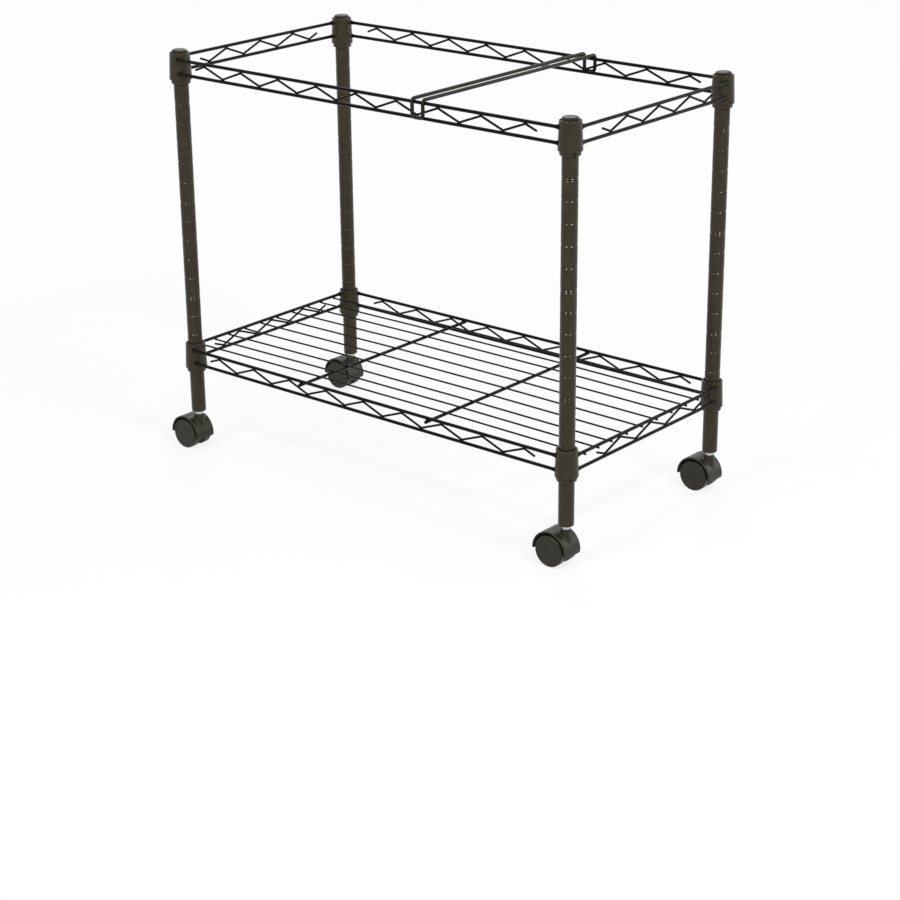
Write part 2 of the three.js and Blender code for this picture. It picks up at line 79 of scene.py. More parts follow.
class Slot(Enum):
    """Material slots of the record."""

    COATED_STEEL = "coated_steel"
    BLACK_PLASTIC = "black_plastic"
    CASTER_PLASTIC = "caster_plastic"
    BRIGHT_STEEL = "bright_steel"


class Look(Enum):
    """The finishes that pieces are made in."""

    TUBE_COAT = "tube_coat"
    # The tube coat darkened on the wires: painted shade
    WIRE_COAT = "wire_coat"
    # The tube coat darkened on the divider: painted shade
    DIVIDER_COAT = "divider_coat"
    SATIN_PLASTIC = "satin_plastic"
    # The cap plastic made paler on the sleeves: painted light
    SLEEVE_PLASTIC = "sleeve_plastic"
    GRAINED_PLASTIC = "grained_plastic"
    BRIGHT_PLATE = "bright_plate"


class Level(Enum):
    """The two welded frames that the posts carry."""

    TOP = "top"
    SHELF = "shelf"


class Side(Enum):
    """The four sides of a welded frame."""

    FRONT = "front"
    BACK = "back"
    RIGHT = "right"
    LEFT = "left"


class WheelSide(Enum):
    """The two wheels of a caster, with the sign of their outer face along Y."""

    A = -1
    B = 1


class Rounded(Enum):
    """What a rounding is made on, as the bevel operator calls it."""

    CORNERS = "VERTICES"
    EDGES = "EDGES"


# Finishes


class FinishGraph:
    """Nodes of one finish: a principled surface that reads the piece's own coordinates."""

    pattern_middle: Pair = (0.3, 0.7)

    def __init__(self, name: str) -> None:
        """Starts a material.

        Args:
            name: the material's name.
        """
        self.material = bpy.data.materials.new(name)
        self.material.use_nodes = True
        self.nodes = self.material.node_tree.nodes
        self.links = self.material.node_tree.links
        self.surface = self.nodes["Principled BSDF"]
        self.place = self.nodes.new("ShaderNodeTexCoord").outputs["Object"]

    def set(self, **values: float) -> None:
        """Sets plain numbers on the surface.

        Args:
            values: socket names, with underscores for spaces, and their values.
        """
        for name, value in values.items():
            self.surface.inputs[name.replace("_", " ")].default_value = value

    def noise(self, size: float, detail: float) -> bpy.types.NodeSocket:
        """Adds a noise pattern.

        Args:
            size: the size of its spots, in millimetres.
            detail: how many finer layers it has.

        Returns:
            The pattern's value, from 0 to 1.
        """
        noise = self.nodes.new("ShaderNodeTexNoise")
        noise.inputs["Scale"].default_value = 1 / (size * MM)
        noise.inputs["Detail"].default_value = detail
        self.links.new(self.place, noise.inputs["Vector"])
        return noise.outputs["Fac"]

    def spread(self, driver: bpy.types.NodeSocket, low: float, high: float) -> bpy.types.NodeSocket:
        """Stretches the middle of a pattern over a range.

        Args:
            driver: the pattern.
            low: the value at its dark spots.
            high: the value at its pale spots.

        Returns:
            The stretched value.
        """
        span = self.nodes.new("ShaderNodeMapRange")
        span.inputs["From Min"].default_value = self.pattern_middle[0]
        span.inputs["From Max"].default_value = self.pattern_middle[1]
        span.inputs["To Min"].default_value = low
        span.inputs["To Max"].default_value = high
        self.links.new(driver, span.inputs["Value"])
        return span.outputs["Result"]

    def tint(self, driver: bpy.types.NodeSocket, dark: Triple, pale: Triple) -> None:
        """Colours the surface between two tones.

        Args:
            driver: the pattern that chooses between them.
            dark: the colour at the pattern's dark spots.
            pale: the colour at its pale spots.
        """
        blend = self.nodes.new("ShaderNodeMix")
        blend.data_type = "RGBA"
        blend.inputs["A"].default_value = (*dark, 1)
        blend.inputs["B"].default_value = (*pale, 1)
        self.links.new(self.spread(driver, 0, 1), blend.inputs["Factor"])
        self.links.new(blend.outputs["Result"], self.surface.inputs["Base Color"])

    def shine(self, driver: bpy.types.NodeSocket, low: float, high: float) -> None:
        """Varies the roughness with a pattern.

        Args:
            driver: the pattern.
            low: the lowest roughness.
            high: the highest roughness.
        """
        self.links.new(self.spread(driver, low, high), self.surface.inputs["Roughness"])

    def relief(self, driver: bpy.types.NodeSocket, depth: float, strength: float) -> None:
        """Gives the surface a fine relief.

        Args:
            driver: the pattern.
            depth: the relief's height in millimetres.
            strength: how strongly it shows.
        """
        bump = self.nodes.new("ShaderNodeBump")
        bump.inputs["Distance"].default_value = depth * MM
        bump.inputs["Strength"].default_value = strength
        self.links.new(driver, bump.inputs["Height"])
        self.links.new(bump.outputs["Normal"], self.surface.inputs["Normal"])


@dataclass(frozen=True)
class Finish:
    """A finish with a soft mottle, which varies its tone and roughness, and a fine relief."""

    name: str
    slot: Slot
    dark: Triple
    pale: Triple
    roughness: Pair
    mottle: float
    mottle_detail: float
    relief: float
    relief_detail: float
    relief_depth: float
    relief_strength: float
    gloss: float = 0.5
    metal: float = 0.0

    def material(self) -> bpy.types.Material:
        """Makes the finish's material.

        Returns:
            The material.
        """
        graph = FinishGraph(self.name)
        mottle = graph.noise(self.mottle, self.mottle_detail)
        relief = graph.noise(self.relief, self.relief_detail)
        graph.tint(mottle, self.dark, self.pale)
        graph.shine(mottle, *self.roughness)
        graph.relief(relief, self.relief_depth, self.relief_strength)
        graph.set(Specular_IOR_Level=self.gloss, Metallic=self.metal)
        return graph.material


@dataclass(frozen=True)
class PowderCoat(Finish):
    """Satin powder coat with a fine orange peel and a faint warm mottle: brown-black on the tubes."""

    name: str = "tube_powder_coat"
    slot: Slot = Slot.COATED_STEEL
    dark: Triple = (0.0265, 0.0209, 0.0105)
    pale: Triple = (0.0389, 0.0307, 0.0155)
    roughness: Pair = (0.15, 0.21)
    mottle: float = 9.0
    mottle_detail: float = 3.0
    relief: float = 1.1
    relief_detail: float = 2.0
    relief_depth: float = 0.04
    relief_strength: float = 0.12
    gloss: float = 0.22


@dataclass(frozen=True)
class ShadedWireCoat(PowderCoat):
    """The same coat on the thin wires, made blacker in tone: painted shade on the wires."""

    name: str = "wire_powder_coat_painted_shade"
    # Darker than the tube coat: painted shade, for the same coat on thin wires
    dark: Triple = (0.0045, 0.0040, 0.0029)
    pale: Triple = (0.0085, 0.0075, 0.0055)
    gloss: float = 0.06


@dataclass(frozen=True)
class ShadedDividerCoat(PowderCoat):
    """The same coat on the divider, between the tubes' and the wires' in tone: painted shade, darker than
    the tubes.
    """

    name: str = "divider_powder_coat_painted_shade"
    # Darker than the tube coat: painted shade on the divider's wires
    dark: Triple = (0.0140, 0.0118, 0.0066)
    pale: Triple = (0.0215, 0.0180, 0.0102)
    gloss: float = 0.12


@dataclass(frozen=True)
class SatinPlastic(Finish):
    """Satin black plastic of the caps and sockets."""

    name: str = "satin_black_plastic"
    slot: Slot = Slot.BLACK_PLASTIC
    dark: Triple = (0.0190, 0.0155, 0.0100)
    pale: Triple = (0.0300, 0.0245, 0.0165)
    roughness: Pair = (0.24, 0.32)
    mottle: float = 5.0
    mottle_detail: float = 2.0
    relief: float = 0.5
    relief_detail: float = 2.0
    relief_depth: float = 0.02
    relief_strength: float = 0.3
    gloss: float = 0.15


@dataclass(frozen=True)
class LitSleevePlastic(SatinPlastic):
    """The same plastic on the split sleeves, paler and as brown as the collars: painted light on sleeves
    that lie in the collars' shadow.
    """

    name: str = "sleeve_plastic"
    # Paler than the caps' plastic: painted light against the collars' shadow on the sleeves
    dark: Triple = (0.0300, 0.0245, 0.0145)
    pale: Triple = (0.0440, 0.0360, 0.0215)
    gloss: float = 0.22


@dataclass(frozen=True)
class GrainedPlastic(Finish):
    """Dark grey-green caster plastic with the fine grain of a moulding tool."""

    name: str = "grained_caster_plastic"
    slot: Slot = Slot.CASTER_PLASTIC
    dark: Triple = (0.0155, 0.0142, 0.0072)
    pale: Triple = (0.0240, 0.0218, 0.0112)
    roughness: Pair = (0.32, 0.40)
    mottle: float = 7.0
    mottle_detail: float = 4.0
    relief: float = 0.45
    relief_detail: float = 3.0
    relief_depth: float = 0.04
    relief_strength: float = 0.08
    gloss: float = 0.26


@dataclass(frozen=True)
class BrightPlate(Finish):
    """Bright plated steel of the caster stems and axles, with a faint fine unevenness."""

    name: str = "bright_plated_steel"
    slot: Slot = Slot.BRIGHT_STEEL
    dark: Triple = (0.44, 0.44, 0.43)
    pale: Triple = (0.56, 0.56, 0.55)
    roughness: Pair = (0.14, 0.26)
    mottle: float = 2.0
    mottle_detail: float = 3.0
    relief: float = 1 / 3
    relief_detail: float = 2.0
    relief_depth: float = 0.01
    relief_strength: float = 0.2
    metal: float = 1.0


FINISHES: dict[Look, Finish] = {
    Look.TUBE_COAT: PowderCoat(),
    Look.WIRE_COAT: ShadedWireCoat(),
    Look.DIVIDER_COAT: ShadedDividerCoat(),
    Look.SATIN_PLASTIC: SatinPlastic(),
    Look.SLEEVE_PLASTIC: LitSleevePlastic(),
    Look.GRAINED_PLASTIC: GrainedPlastic(),
    Look.BRIGHT_PLATE: BrightPlate(),
}


class Workshop:
    """Turns finished meshes into objects of the scene and keeps the materials."""

    flat_weight: int = 70

    def __init__(self) -> None:
        """Makes the materials."""
        self.materials = {look: finish.material() for look, finish in FINISHES.items()}

    def dress(self, shape: BMesh, node: str, body: str, look: Look) -> None:
        """Makes the object of one piece, in place of its CAD node.

        Args:
            shape: the closed mesh in millimetres, where the piece sits. It is freed.
            node: the CAD node that the piece stands for.
            body: the body that it rides on.
            look: its finish.
        """
        bmesh.ops.recalc_face_normals(shape, faces=shape.faces[:])
        bmesh.ops.scale(shape, vec=(MM, MM, MM), verts=shape.verts[:])
        for face in shape.faces:
            face.smooth = True
        mesh = bpy.data.meshes.new(node + "_mesh")
        shape.to_mesh(mesh)
        shape.free()
        mesh.set_sharp_from_angle(angle=SHARP_ANGLE)
        mesh.materials.append(self.materials[look])
        piece = bpy.data.objects.new(node + "_smooth", mesh)
        even = piece.modifiers.new("even_normals", "WEIGHTED_NORMAL")
        even.weight = self.flat_weight
        even.keep_sharp = True
        bpy.context.scene.collection.objects.link(piece)
        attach(piece, body)
        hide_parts(node)
        LOG.info("%s on %s: %d faces", piece.name, body, len(mesh.polygons))


# Ways of shaping


def whole(shape: BMesh) -> list[Part]:
    """Lists everything in a mesh."""
    return shape.faces[:] + shape.edges[:] + shape.verts[:]


def corners_in(made: list[Part]) -> list[BMVert]:
    """Picks the corners out of what an operator made."""
    return [item for item in made if isinstance(item, BMVert)]


def sharp_rims(shape: BMesh) -> list[BMEdge]:
    """Lists the edges at which a mesh turns sharply."""
    return [edge for edge in shape.edges if edge.is_manifold and edge.calc_face_angle() > RIM_ANGLE]


def round_off(shape: BMesh, parts: list[Part], on: Rounded, reach_in: float, steps: int) -> None:
    """Rounds corners or edges of a mesh.

    Args:
        shape: the mesh.
        parts: its corners or edges.
        on: which of the two they are.
        reach_in: how far the rounding reaches from them.
        steps: the number of flats that it is made of.
    """
    bmesh.ops.bevel(
        shape, geom=parts, offset=reach_in, affect=on.value, segments=steps, profile=0.5, material=-1
    )


def cut_across(shape: BMesh, point: Vector, outwards: Vector, trim: bool) -> None:
    """Cuts a mesh along a plane.

    Args:
        shape: the mesh.
        point: a point of the plane.
        outwards: the plane's direction.
        trim: whether what lies outwards of the plane is taken away.
    """
    bmesh.ops.bisect_plane(shape, geom=whole(shape), plane_co=point, plane_no=outwards, clear_outer=trim)


def place_shape(shape: BMesh, where: Vector, turn: float = 0.0, axis: Vector = UP) -> None:
    """Turns a mesh about an axis through the origin and moves it to its place.

    Args:
        shape: the mesh, made round the origin.
        where: its place.
        turn: its turn in radians.
        axis: the axis that it turns about.
    """
    bmesh.ops.rotate(shape, cent=ORIGIN, matrix=Matrix.Rotation(turn, 3, axis), verts=shape.verts[:])
    bmesh.ops.translate(shape, vec=where, verts=shape.verts[:])


def add_mesh(shape: BMesh, extra: BMesh) -> None:
    """Adds a second mesh to a first one.

    Args:
        shape: the mesh that takes it.
        extra: the mesh that is added and freed.
    """
    carrier = bpy.data.meshes.new("carrier")
    extra.to_mesh(carrier)
    extra.free()
    shape.from_mesh(carrier)
    bpy.data.meshes.remove(carrier)


def weld_bead(shape: BMesh, place: Vector, radii: Triple) -> None:
    """Adds the small bead of a spot weld.

    Args:
        shape: the mesh that takes it.
        place: its middle.
        radii: its half sizes along X, Y and Z.
    """
    matrix = Matrix.Translation(place) @ Matrix.Diagonal((*radii, 1))
    bmesh.ops.create_icosphere(shape, subdivisions=2, radius=1, matrix=matrix)


@dataclass(frozen=True)
class Turn:
    """One corner of a turned profile: its radius, its height and how far it is rounded."""

    radius: float
    height: float
    rounding: float = 0.0


@dataclass(frozen=True)
class Lathe:
    """Turns a profile round the Z axis."""

    profile: tuple[Turn, ...]
    segments: int = 56
    rounding_steps: int = 3
    closed: bool = False

    def outline(self, shape: BMesh) -> None:
        """Draws the profile in the X-Z plane and rounds its corners.

        Args:
            shape: the empty mesh that takes it.
        """
        corners = [shape.verts.new((turn.radius, 0, turn.height)) for turn in self.profile]
        for first, second in zip(corners, corners[1:]):
            shape.edges.new((first, second))
        if self.closed:
            shape.edges.new((corners[-1], corners[0]))
        for rounding in sorted({turn.rounding for turn in self.profile if turn.rounding}):
            chosen = [corner for corner, turn in zip(corners, self.profile) if turn.rounding == rounding]
            round_off(shape, chosen, Rounded.CORNERS, rounding, self.rounding_steps)

    def turned(self) -> BMesh:
        """Makes the full round piece.

        Returns:
            Its closed mesh, round the Z axis.
        """
        shape = bmesh.new()
        self.outline(shape)
        bmesh.ops.spin(
            shape,
            geom=whole(shape),
            cent=ORIGIN,
            axis=UP,
            angle=math.tau,
            steps=self.segments,
            use_merge=True,
        )
        bmesh.ops.remove_doubles(shape, verts=shape.verts[:], dist=MERGE_GAP)
        return shape

    def split(self, slit: float, slit_turn: float) -> BMesh:
        """Makes the round piece with a slit.

        Args:
            slit: the slit's angle, in radians.
            slit_turn: where its middle is, in radians from +X.

        Returns:
            Its closed mesh, round the Z axis.
        """
        shape = bmesh.new()
        self.outline(shape)
        section = bmesh.ops.contextual_create(shape, geom=shape.edges[:])["faces"][0]
        bmesh.ops.spin(
            shape,
            geom=[section, *section.edges, *section.verts],
            cent=ORIGIN,
            axis=UP,
            angle=math.tau - slit,
            steps=self.segments,
        )
        place_shape(shape, ORIGIN, slit_turn + slit / 2)
        return shape


class WireBender:
    """Draws a wire out of a round end, straight or bent, and keeps its shell closed."""

    end_steps: int = 2

    def __init__(self, shape: BMesh, radius: float, start: Vector, heading: Vector, sides: int) -> None:
        """Cuts the wire's first end.

        Args:
            shape: the mesh that takes the wire.
            radius: the wire's radius.
            start: the middle of the first end.
            heading: the way that the wire runs from there.
            sides: the number of sides of its section.
        """
        self.shape = shape
        self.head = start.copy()
        self.heading = heading.normalized()
        turn = self.heading.to_track_quat("Z", "Y").to_matrix().to_4x4()
        ring = bmesh.ops.create_circle(
            shape, cap_ends=True, segments=sides, radius=radius, matrix=Matrix.Translation(start) @ turn
        )
        self.first = ring["verts"][0].link_faces[0]
        self.last = self.first

    def last_end(self) -> list[Part]:
        """Lists the last end's face with its edges and corners."""
        return [self.last, *self.last.edges, *self.last.verts]

    def end_on(self, made: list[Part]) -> None:
        """Takes the face among what an operator made as the last end."""
        self.last = next(item for item in made if isinstance(item, BMFace))

    def straight(self, length: float, widening: Vector | None = None) -> None:
        """Draws the wire straight on.

        Args:
            length: how far.
            widening: factors by which its section grows along X, Y and Z, if it does.
        """
        made = bmesh.ops.extrude_face_region(self.shape, geom=self.last_end())["geom"]
        moved = corners_in(made)
        bmesh.ops.translate(self.shape, vec=self.heading * length, verts=moved)
        self.head = self.head + self.heading * length
        if widening is not None:
            bmesh.ops.scale(self.shape, vec=widening, space=Matrix.Translation(-self.head), verts=moved)
        self.end_on(made)

    def bend(self, towards: Vector, radius: float, angle: float, steps: int) -> None:
        """Bends the wire.

        Args:
            towards: the direction from the wire to the middle of the bend.
            radius: the bend's radius at the wire's middle.
            angle: how far it turns, in radians.
            steps: the number of sections in the bend.
        """
        centre = self.head + towards.normalized() * radius
        axis = self.heading.cross(towards).normalized()
        turn = Quaternion(axis, angle)
        made = bmesh.ops.spin(
            self.shape, geom=self.last_end(), cent=centre, axis=axis, angle=angle, steps=steps
        )["geom_last"]
        self.end_on(made)
        self.head = centre + turn @ (self.head - centre)
        self.heading = turn @ self.heading

    def round_ends(self, rounding: float) -> None:
        """Rounds both cut ends by a given amount."""
        rims = [*self.first.edges, *self.last.edges]
        round_off(self.shape, rims, Rounded.EDGES, rounding, self.end_steps)

    def close_loop(self) -> None:
        """Joins the two ends of a wire that has come back to its start."""
        bmesh.ops.delete(self.shape, geom=[self.first, self.last], context="FACES_ONLY")
        bmesh.ops.remove_doubles(self.shape, verts=self.shape.verts[:], dist=LOOP_GAP)


# What the frame says


@dataclass(frozen=True)
class Corner:
    """One post's corner: its name, the post's axis and the height of the caster's axle."""

    name: str
    x: float
    y: float
    axle: float

    @staticmethod
    def all() -> list["Corner"]:
        """Reads the corners from the casters' swivel joints.

        Returns:
            The four corners, in the frame's order.
        """
        found = []
        for joint in frame["joints"]:
            if joint["name"].startswith("swivel_"):
                x, y, axle = (value / MM for value in joint["pos_m"])
                found.append(Corner(joint["name"].removeprefix("swivel_"), x, y, axle))
        return found

    @property
    def place(self) -> Vector:
        """The post's axis on the floor."""
        return Vector((self.x, self.y, 0))


@cache
def reach(node: str) -> Pair:
    """Gives the lowest and highest level of a CAD node, in millimetres."""
    low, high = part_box(node)
    return low.z / MM, high.z / MM


# Posts and caps


@dataclass
class Post:
    """Round tube with rounded locking grooves, every fifth one doubled as a height mark, and its cap."""

    workshop: Workshop
    corner: Corner
    radius: float = 9.5
    wall: float = 1.0
    foot_rounding: float = 0.8
    lowest_groove: float = 82.5
    groove_pitch: float = 25.4
    grooves: int = 16
    groove_below: float = 1.25
    groove_above: float = 0.8
    groove_floor: float = 0.25
    groove_depth: float = 0.7
    groove_rounding: float = 0.22
    groove_hold: float = 0.15
    mark_every: int = 5
    first_mark: int = 3
    mark_drop: float = 2.7
    cap_radius: float = 9.8
    cap_gap: float = 0.3
    cap_flange: float = 1.7
    cap_rounding: float = 0.5
    plug_rounding: float = 1.0
    crown_steps: int = 12
    crown_power: float = 0.5

    def groove_levels(self, foot: float) -> list[float]:
        """Lists the heights of the grooves.

        Args:
            foot: the level of the post's foot.

        Returns:
            The levels of their middles, from the lowest up.
        """
        levels = []
        for count in range(self.grooves):
            level = foot + self.lowest_groove + count * self.groove_pitch
            if count % self.mark_every == self.first_mark:
                levels.append(level - self.mark_drop)
            levels.append(level)
        return levels

    def groove(self, level: float) -> list[Turn]:
        """Draws one groove. A point on its lower flank, near the floor, keeps the flank's shading even.

        Args:
            level: the level of its middle.

        Returns:
            Its profile, from the lower edge to the upper one.
        """
        floor = self.radius - self.groove_depth
        held = level - self.groove_floor - self.groove_hold * (self.groove_below - self.groove_floor)
        return [
            Turn(self.radius, level - self.groove_below, self.groove_rounding),
            Turn(floor + self.groove_hold * self.groove_depth, held),
            Turn(floor, level - self.groove_floor),
            Turn(floor, level + self.groove_floor),
            Turn(self.radius, level + self.groove_above, self.groove_rounding),
        ]

    def build_tube(self) -> None:
        """Makes the grooved tube."""
        node = "post_" + self.corner.name
        foot, top = reach(node)
        bore = self.radius - self.wall
        lip = self.wall / 3
        profile = [Turn(bore, foot, lip), Turn(self.radius, foot, self.foot_rounding)]
        for level in self.groove_levels(foot):
            profile += self.groove(level)
        profile += [Turn(self.radius, top, lip), Turn(bore, top, lip)]
        shape = Lathe(tuple(profile), closed=True).turned()
        place_shape(shape, self.corner.place)
        self.workshop.dress(shape, node, "frame", Look.TUBE_COAT)

    def build_cap(self) -> None:
        """Makes the cap with its plug and its crown, which is fuller at the rim than an ellipse."""
        node = "cap_" + self.corner.name
        foot, top = reach(node)
        seat = reach("post_" + self.corner.name)[1] + self.cap_gap
        shoulder = seat + self.cap_flange
        plug = self.radius - self.wall - self.cap_gap
        profile = [
            Turn(0, foot),
            Turn(plug, foot, self.plug_rounding),
            Turn(plug, seat),
            Turn(self.cap_radius, seat, self.cap_rounding),
        ]
        for step in range(self.crown_steps):
            angle = QUARTER * step / self.crown_steps
            out = math.cos(angle) ** self.crown_power
            rise = math.sin(angle) ** self.crown_power
            profile.append(Turn(self.cap_radius * out, shoulder + (top - shoulder) * rise))
        profile.append(Turn(0, top))
        shape = Lathe(tuple(profile)).turned()
        place_shape(shape, self.corner.place)
        self.workshop.dress(shape, node, "frame", Look.SATIN_PLASTIC)


# Corner collars and sleeves


@dataclass
class CollarFit:
    """Tapered collar of a welded frame, wedged on a split sleeve."""

    workshop: Workshop
    corner: Corner
    level: Level
    foot_radius: float = 14.3
    head_radius: float = 12.8
    wall: float = 1.8
    rim_rounding: float = 0.9
    drop: float = 21.7
    sleeve_bore: float = 9.8
    sleeve_gap: float = 0.3
    skirt_lip: float = 1.9
    skirt_slope: float = 0.8
    skirt_rounding: float = 0.5
    seat_rounding: float = 0.3
    edge_rounding: float = 0.25
    rib_half: float = 0.7
    rib_depth: float = 0.5
    slit: float = 1.6
    slit_turn: float = 60.0

    @property
    def node(self) -> str:
        """The collar's CAD node."""
        return f"{self.level.value}_collar_{self.corner.name}"

    @property
    def lock(self) -> float:
        """The level of the groove that the sleeve sits in."""
        return reach(self.node)[0] + self.drop

    def radius_at(self, level: float) -> float:
        """Gives the collar's outer radius.

        Args:
            level: the height above the locking groove.

        Returns:
            The radius there.
        """
        foot, head = reach(self.node)
        share = (level + self.drop) / (head - foot)
        return self.foot_radius + (self.head_radius - self.foot_radius) * share

    def build_collar(self) -> None:
        """Makes the steel collar with rounded rims."""
        foot, head = reach(self.node)
        lip = self.wall / 4
        profile = (
            Turn(self.foot_radius - self.wall, foot, lip),
            Turn(self.foot_radius, foot, self.rim_rounding),
            Turn(self.head_radius, head, self.rim_rounding),
            Turn(self.head_radius - self.wall, head, lip),
        )
        shape = Lathe(profile, closed=True).turned()
        place_shape(shape, self.corner.place)
        self.workshop.dress(shape, self.node, "frame", Look.TUBE_COAT)

    def slit_angle(self) -> float:
        """Gives the slit's place, out towards the nearer end of the cart.

        Returns:
            The angle of its middle, in radians from +X.
        """
        turn = math.radians(self.slit_turn)
        along = math.copysign(math.sin(turn), self.corner.x)
        across = math.copysign(math.cos(turn), self.corner.y)
        return math.atan2(across, along)

    def build_sleeve(self) -> None:
        """Makes the split plastic sleeve with its skirt and its inner rib."""
        node = f"{self.level.value}_sleeve_{self.corner.name}"
        foot, head = reach(node)
        collar_foot = reach(self.node)[0]
        fitting = self.wall + self.sleeve_gap
        skirt = self.foot_radius - fitting
        profile = (
            Turn(self.sleeve_bore, foot, self.edge_rounding),
            Turn(self.sleeve_bore + self.skirt_lip, foot, self.skirt_rounding),
            Turn(skirt, foot + self.skirt_slope, self.skirt_rounding),
            Turn(skirt, collar_foot, self.seat_rounding),
            Turn(self.radius_at(head - self.lock) - fitting, head, self.edge_rounding),
            Turn(self.sleeve_bore, head, self.edge_rounding),
            Turn(self.sleeve_bore, self.lock + self.rib_half),
            Turn(self.sleeve_bore - self.rib_depth, self.lock),
            Turn(self.sleeve_bore, self.lock - self.rib_half),
        )
        shape = Lathe(profile, closed=True).split(self.slit / skirt, self.slit_angle())
        place_shape(shape, self.corner.place)
        self.workshop.dress(shape, node, "frame", Look.SLEEVE_PLASTIC)


# Trusses


@dataclass(frozen=True)
class WireSizes:
    """Sizes that the sides, the deck and the divider share. Wires are given by their radius."""

    rod: float = 2.1
    rod_sides: int = 20
    rod_outset: float = 10.0
    rod_spacing: float = 17.7
    upper_rise: float = 4.7
    long_pitch: float = 62.75
    deck_pitch: float = 30.68
    side_shift: float = 3.0


WIRES = WireSizes()


@dataclass(frozen=True)
class Run:
    """How one side of a welded frame runs: its span, its bent wire, its place and its turn."""

    side: Side
    spacing: float
    pitch: float
    ends_high: bool
    shift: float
    x: float
    y: float
    degrees: float


@dataclass
class Truss:
    """One side of a welded frame: two rods flared on to the collars, with a bent wire between them.

    It is made along X with the locking groove at Z = 0, the rods at Y = 0 and the posts behind them, at
    the rods' outset. A flare lists distances from a rod's end, with the rod's height there as a factor.
    """

    workshop: Workshop
    fit: CollarFit
    run: Run
    flare: tuple[Pair, ...] = ((0.0, 2.05), (1.3, 1.6), (3.0, 1.28), (5.0, 1.1), (8.0, 1.0))
    flare_foot: float = 7.0
    cope_sink: float = 0.7
    zigzag: float = 1.4
    zigzag_sides: int = 14
    zigzag_bend: float = 3.6
    zigzag_rounding: float = 0.35
    bend_steps: int = 6
    end_clearance: float = 45.0
    weld: Triple = (2.6, 1.3, 0.9)
    weld_sink: float = 0.3

    def bays(self) -> int:
        """Counts the whole waves of the bent wire."""
        whole_waves = math.floor((self.run.spacing - 2 * self.end_clearance) / self.run.pitch)
        return whole_waves if self.run.ends_high else 2 * ((whole_waves - 1) // 2) + 1

    def cope(self, end: BMFace, sign: int) -> None:
        """Shapes a rod's end to the round collar.

        Args:
            end: the rod's end face.
            sign: -1 for the left end and 1 for the right end.
        """
        for corner in end.verts:
            radius = self.fit.radius_at(corner.co.z) - self.cope_sink
            aside = WIRES.rod_outset - corner.co.y
            inset = math.sqrt(max(radius**2 - aside**2, 0))
            corner.co.x = sign * (self.run.spacing / 2 - inset)

    def add_rod(self, shape: BMesh, level: float) -> None:
        """Adds one rod with a weld flare at each collar.

        Args:
            shape: the mesh that takes it.
            level: the rod's level.
        """
        half = self.run.spacing / 2 - self.flare_foot
        rod = WireBender(shape, WIRES.rod, Vector((-half, 0, level)), ALONG, WIRES.rod_sides)
        stations = [(distance - half, height) for distance, height in self.flare]
        stations += [(half - distance, height) for distance, height in reversed(self.flare)]
        tall = (1, 1, stations[0][1])
        bmesh.ops.scale(shape, vec=tall, space=Matrix.Translation(-rod.head), verts=list(rod.first.verts))
        for (place, height), (next_place, next_height) in zip(stations, stations[1:]):
            rod.straight(next_place - place, Vector((1, 1, next_height / height)))
        self.cope(rod.first, -1)
        self.cope(rod.last, 1)

    def add_zigzag(self, shape: BMesh, high: float, low: float) -> None:
        """Adds the bent wire and its welds: straight flights between round bends against the rods.

        Args:
            shape: the mesh that takes it.
            high: the upper rod's level.
            low: the lower rod's level.
        """
        bend = self.zigzag_bend
        half_pitch = self.run.pitch / 2
        inset = WIRES.rod + self.zigzag - self.weld_sink
        rise = high - low - 2 * inset - 2 * bend
        lean = math.atan2(rise, half_pitch) + math.asin(2 * bend / math.hypot(half_pitch, rise))
        flight = (half_pitch - 2 * bend * math.sin(lean)) / math.cos(lean)
        count = 2 * self.bays() + 1
        first_contact = self.run.shift - (count - 1) * half_pitch / 2
        first_level = high - inset if self.run.ends_high else low + inset
        sign = 1 if self.run.ends_high else -1
        heading = Vector((math.cos(lean), 0, sign * math.sin(lean)))
        entry = Vector((first_contact - bend * math.sin(lean), 0, 0))
        entry.z = first_level - sign * bend * (1 - math.cos(lean))
        wire = WireBender(shape, self.zigzag, entry - heading * flight / 2, heading, self.zigzag_sides)
        for index in range(count):
            wire.straight(flight / 2 if index == 0 else flight)
            away = DOWN if sign > 0 else UP
            wire.bend(away - wire.heading * (away @ wire.heading), bend, 2 * lean, self.bend_steps)
            level = high - WIRES.rod if sign > 0 else low + WIRES.rod
            weld_bead(shape, Vector((first_contact + index * half_pitch, 0, level)), self.weld)
            sign = -sign
        wire.straight(flight / 2)
        wire.round_ends(self.zigzag_rounding)

    def build(self) -> None:
        """Makes the truss in its place."""
        shape = bmesh.new()
        high = WIRES.upper_rise
        low = high - WIRES.rod_spacing
        self.add_rod(shape, high)
        self.add_rod(shape, low)
        self.add_zigzag(shape, high, low)
        where = Vector((self.run.x, self.run.y, self.fit.lock))
        place_shape(shape, where, math.radians(self.run.degrees))
        node = f"{self.fit.level.value}_truss_{self.run.side.value}"
        self.workshop.dress(shape, node, "frame", Look.WIRE_COAT)


# Shelf deck


